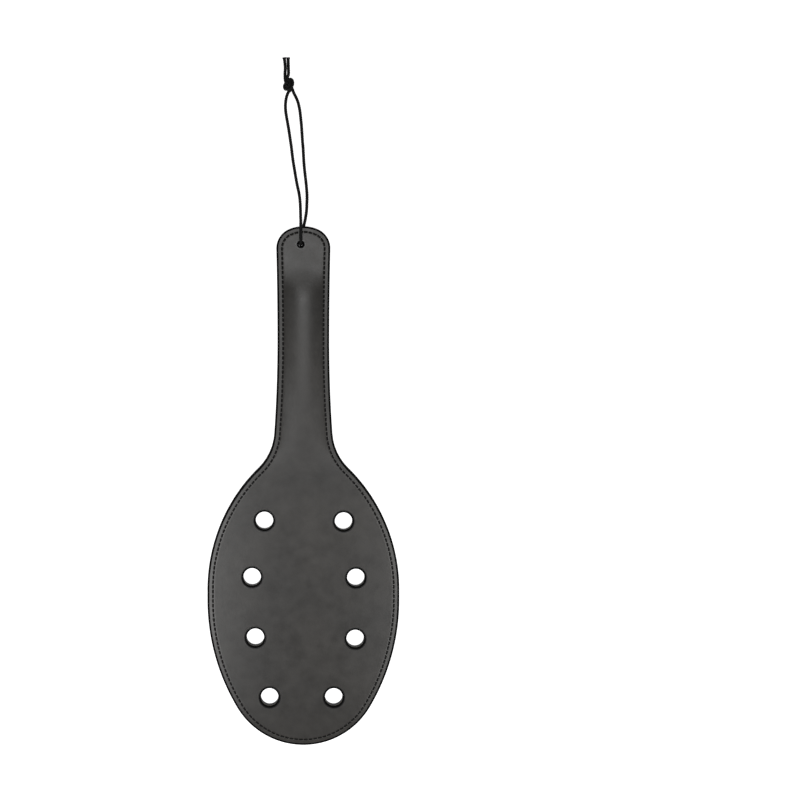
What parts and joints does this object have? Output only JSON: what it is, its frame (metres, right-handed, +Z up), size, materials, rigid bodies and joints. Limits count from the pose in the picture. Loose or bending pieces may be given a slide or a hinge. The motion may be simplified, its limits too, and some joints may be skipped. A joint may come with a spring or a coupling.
{
  "type": "leather paddle",
  "caption": "Flat hand paddle of stitched leather with a long oval head, round air holes, a crowned handle and a knotted cord loop to hang it by.",
  "frame": {"origin": "centre of the paddle's footprint, without the cord, on the surface it lies on", "axes": "+Y along the paddle towards the handle's end and the cord, +X to the right seen from the front, +Z up through its thickness, out of the front face"},
  "size_m": [0.148, 0.5311, 0.009],
  "materials": {
    "front_leather": "semi-matte dark grey grain leather with painted black edges",
    "back_leather": "semi-matte dark grey grain leather with painted black edges",
    "board": "bonded leather board",
    "handle_filler": "bonded leather, shaped to a crown",
    "thread": "waxed black twisted thread",
    "cord": "waxed black twisted cord"
  },
  "bodies": {
    "paddle": {"front_cover": "front_leather", "back_cover": "back_leather", "head_board": "board", "handle_core": "handle_filler", "front_stitches": "thread", "back_stitches": "thread"},
    "cord_turn": {"cord_bight": "cord"},
    "cord_loop": {"cord_front_leg": "cord", "cord_back_leg": "cord", "cord_knot": "cord", "cord_tails": "cord"}
  },
  "joints": [
    {"name": "cord_swing", "type": "hinge", "parent": "paddle", "child": "cord_turn", "pos_m": [-0.002, 0.186, 0.0045], "axis": [0, 0, 1], "range_deg": [-60, 60]},
    {"name": "cord_lift", "type": "hinge", "parent": "cord_turn", "child": "cord_loop", "pos_m": [0, 0.21, 0.0045], "axis": [1, 0, 0], "range_deg": [0, 90]}
  ]
}
